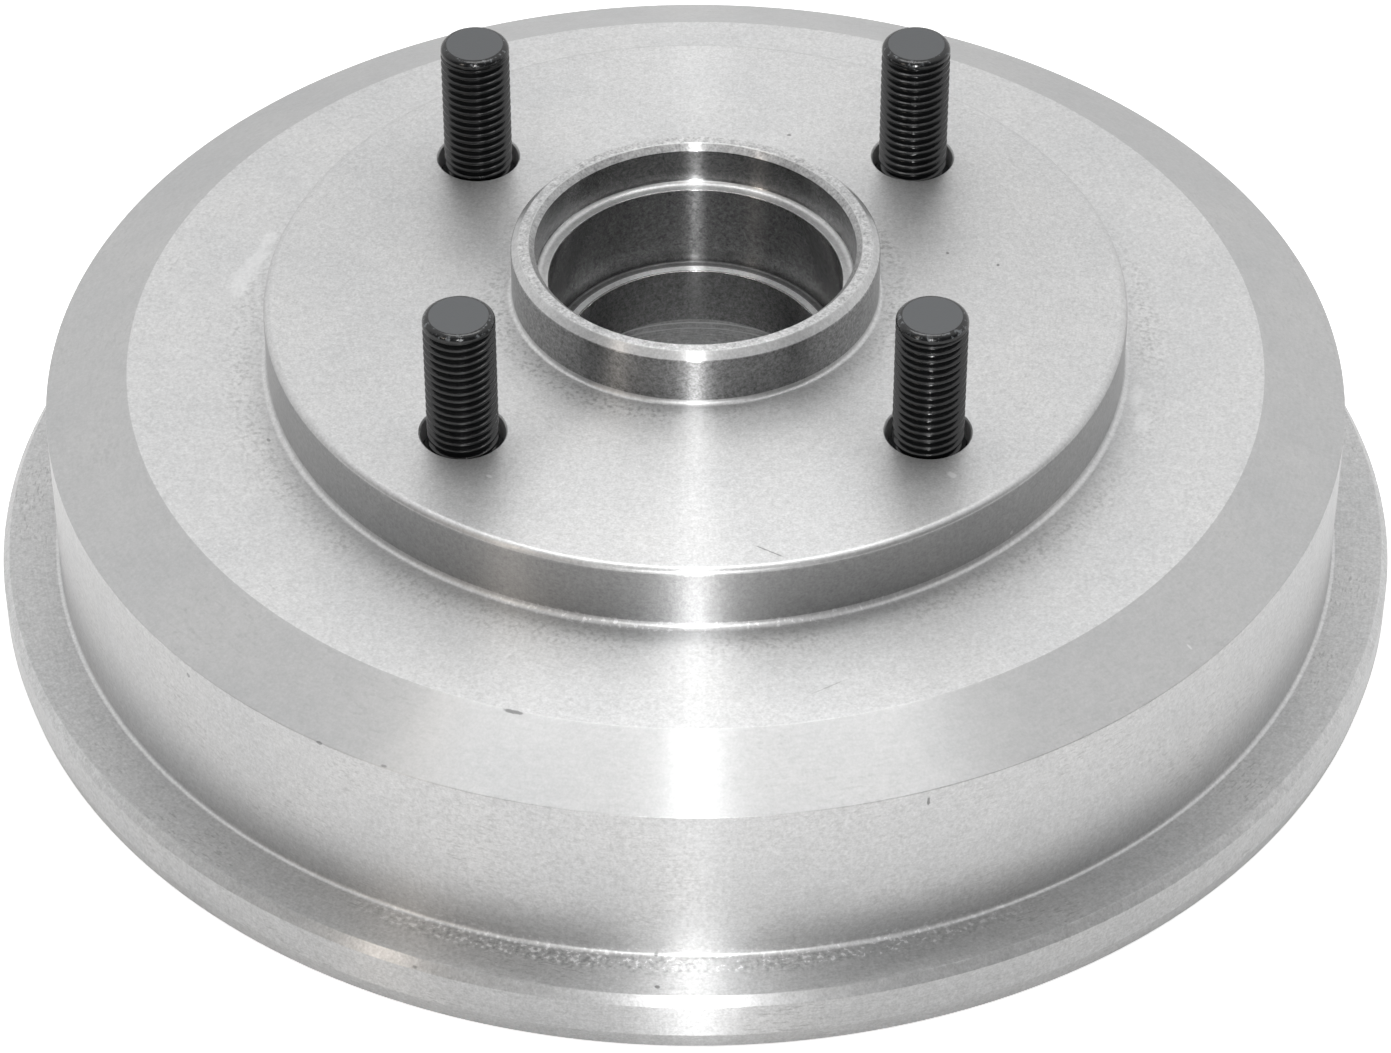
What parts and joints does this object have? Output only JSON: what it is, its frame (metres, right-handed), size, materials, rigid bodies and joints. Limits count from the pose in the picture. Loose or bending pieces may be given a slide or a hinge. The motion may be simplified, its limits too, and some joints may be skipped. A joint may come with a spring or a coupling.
{
  "type": "brake drum",
  "caption": "Round iron brake drum with the wheel hub cast in one piece: flanged open rim, raised wheel face with a collar and a stepped bore, and threaded wheel studs.",
  "frame": {"origin": "centre of the open rim's plane, on the drum's axis", "axes": "+Z along the drum's axis towards the wheel face; the studs stand at 45, 135, 225 and 315 degrees from +X"},
  "size_m": [0.243, 0.243, 0.083],
  "materials": {
    "turned_iron": "turned and blasted bare iron, satin",
    "stud_steel": "black phosphate, lightly oiled"
  },
  "bodies": {
    "root": {"drum": "turned_iron", "wheel_stud_1": "stud_steel", "wheel_stud_2": "stud_steel", "wheel_stud_3": "stud_steel", "wheel_stud_4": "stud_steel"}
  },
  "joints": []
}
